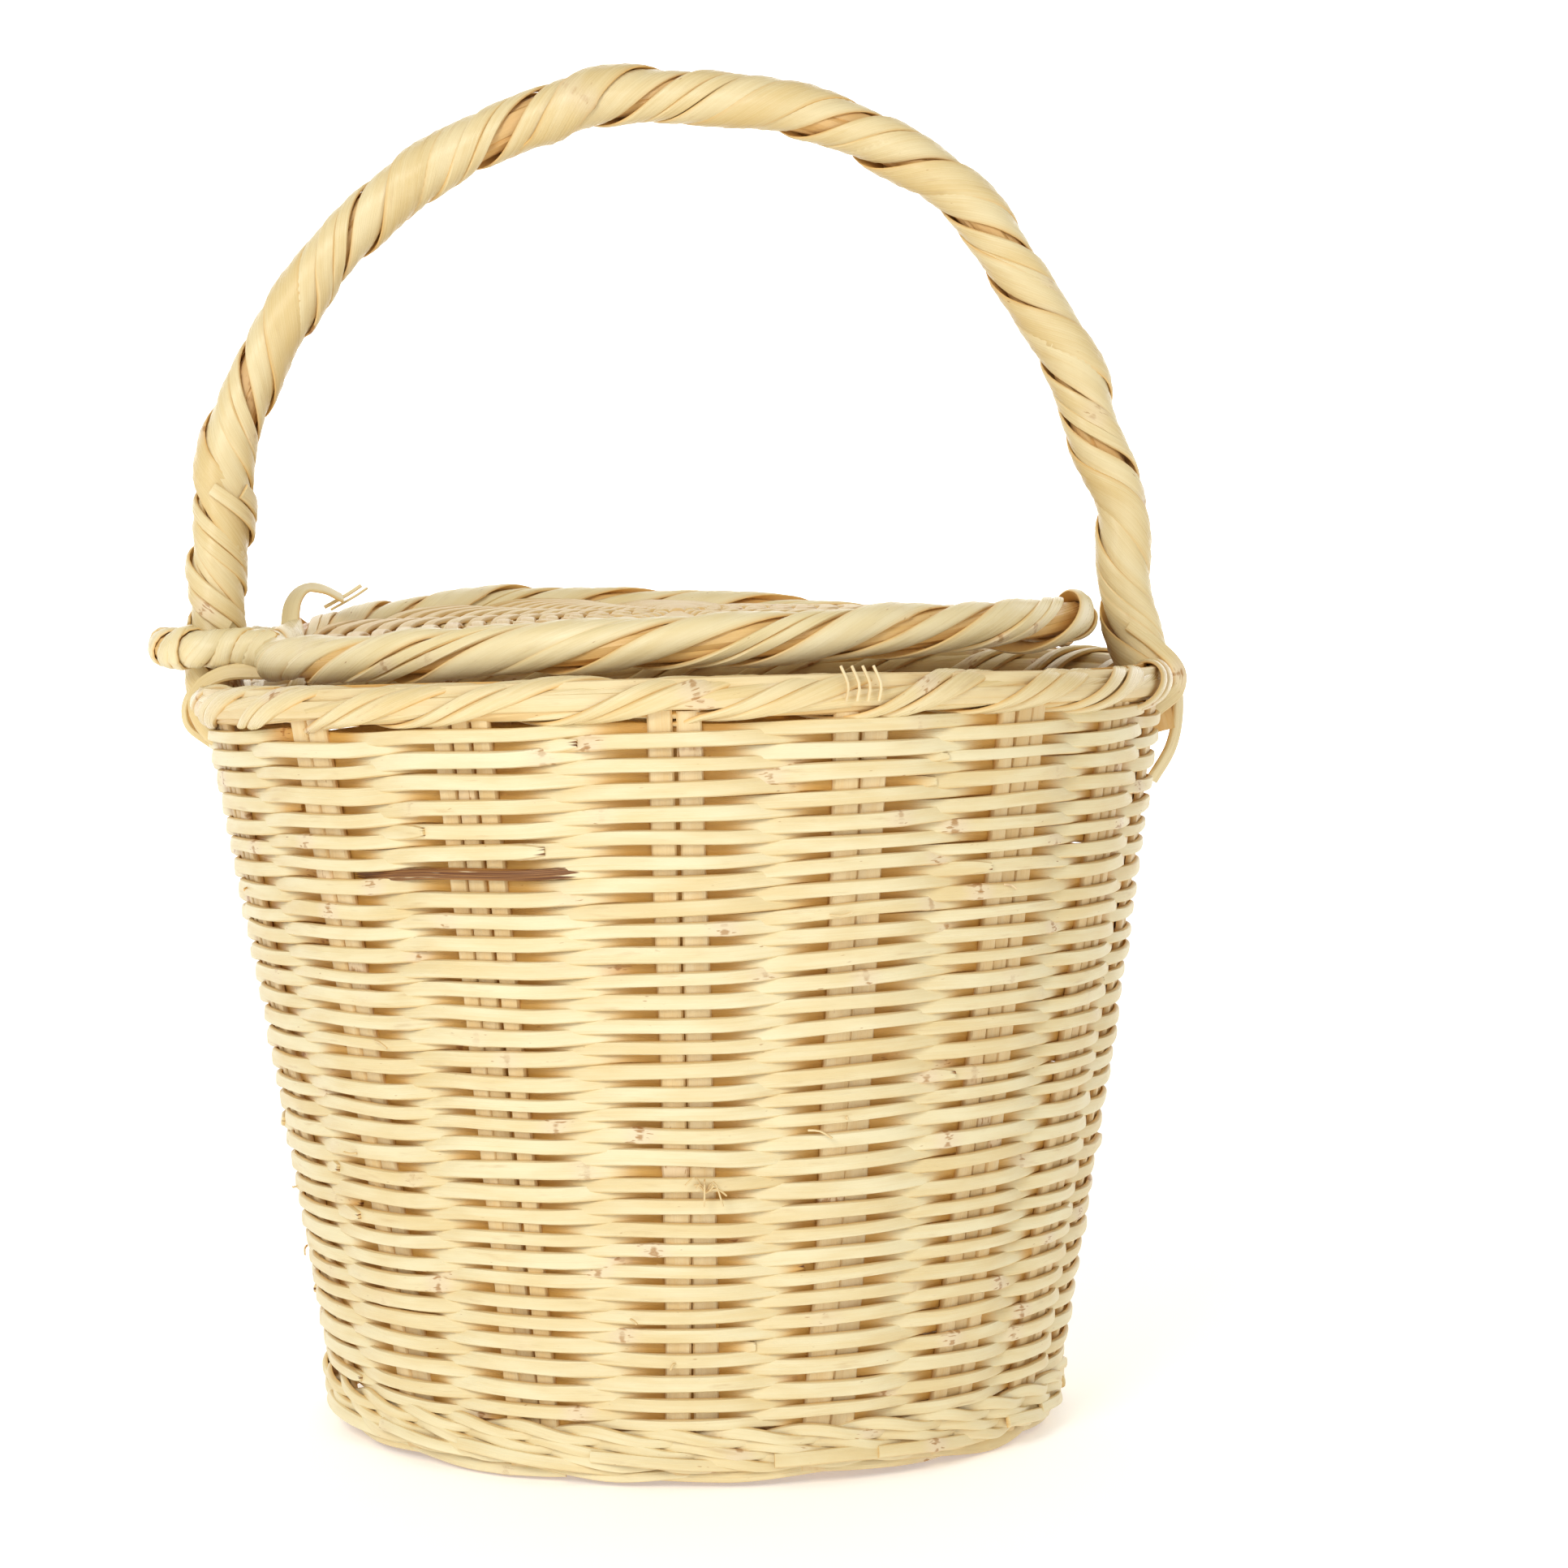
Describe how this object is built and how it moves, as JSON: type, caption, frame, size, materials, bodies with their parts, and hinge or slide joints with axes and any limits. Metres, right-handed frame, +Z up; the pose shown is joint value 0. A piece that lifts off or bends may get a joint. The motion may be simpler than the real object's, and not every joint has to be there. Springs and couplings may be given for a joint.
{
  "type": "lidded wicker basket",
  "caption": "Round tapered basket woven from split cane, with a plaited foot, a lashed rim, a fixed hoop handle and a woven lid looped round one handle leg.",
  "frame": {"origin": "centre of the bounding box, on the floor that the foot border stands on", "axes": "+Z up; X across the handle's hoop, with the lid's loop on the -X leg; -Y is the front, the side that the hoop faces"},
  "size_m": [0.3195, 0.3024, 0.4123],
  "materials": {
    "pale_cane": "flat split cane with its satin outer skin, used for the weaving",
    "straw_cane": "slightly darker split cane with a satin skin, used for uprights, sticks and cores",
    "cream_cane": "wide glossy split cane, used for lashings, wraps and the lid's rope edge"
  },
  "bodies": {
    "basket": {"foot_border": "straw_cane", "upsett_band": "straw_cane", "base_stick_1": "straw_cane", "base_stick_2": "straw_cane", "base_stick_3": "straw_cane", "base_stick_4": "straw_cane", "base_ring_1": "pale_cane", "base_ring_2": "pale_cane", "base_ring_3": "pale_cane", "stake_01": "straw_cane", "stake_02": "straw_cane", "stake_03": "straw_cane", "stake_04": "straw_cane", "stake_05": "straw_cane", "stake_06": "straw_cane", "stake_07": "straw_cane", "stake_08": "straw_cane", "stake_09": "straw_cane", "stake_10": "straw_cane", "stake_11": "straw_cane", "stake_12": "straw_cane", "stake_13": "straw_cane", "stake_14": "straw_cane", "stake_15": "straw_cane", "stake_16": "straw_cane", "stake_17": "straw_cane", "weaver_01": "pale_cane", "weaver_02": "pale_cane", "weaver_03": "pale_cane", "weaver_04": "pale_cane", "weaver_05": "pale_cane", "weaver_06": "pale_cane", "weaver_07": "pale_cane", "weaver_08": "pale_cane", "weaver_09": "pale_cane", "weaver_10": "pale_cane", "rim_hoop_outer": "pale_cane", "rim_hoop_inner": "pale_cane", "rim_lashing": "cream_cane", "handle_core": "straw_cane", "handle_wrap_1": "cream_cane", "handle_wrap_2": "cream_cane", "handle_tail_right": "cream_cane", "handle_tail_left": "cream_cane"},
    "lid_loop": {"lid_eye": "cream_cane", "eye_binding_front": "pale_cane", "eye_binding_back": "pale_cane"},
    "lid": {"lid_hoop": "cream_cane", "lid_lashing": "cream_cane", "lid_stick_1": "cream_cane", "lid_stick_2": "cream_cane", "lid_stick_3": "cream_cane", "lid_stick_4": "cream_cane", "lid_stick_5": "cream_cane", "lid_stick_6": "cream_cane", "lid_stick_7": "cream_cane", "lid_stick_8": "cream_cane", "lid_ring_1": "pale_cane", "lid_ring_2": "pale_cane", "lid_ring_3": "pale_cane"}
  },
  "joints": [
    {"name": "lid_swivel", "type": "hinge", "parent": "basket", "child": "lid_loop", "pos_m": [-0.13722, 0.00036, 0.2358], "axis": [0, 0, 1], "range_deg": [-135, 135]},
    {"name": "lid_lift", "type": "hinge", "parent": "lid_loop", "child": "lid", "pos_m": [-0.12532, 0.00036, 0.2435], "axis": [0, -1, 0], "range_deg": [0, 11]}
  ]
}
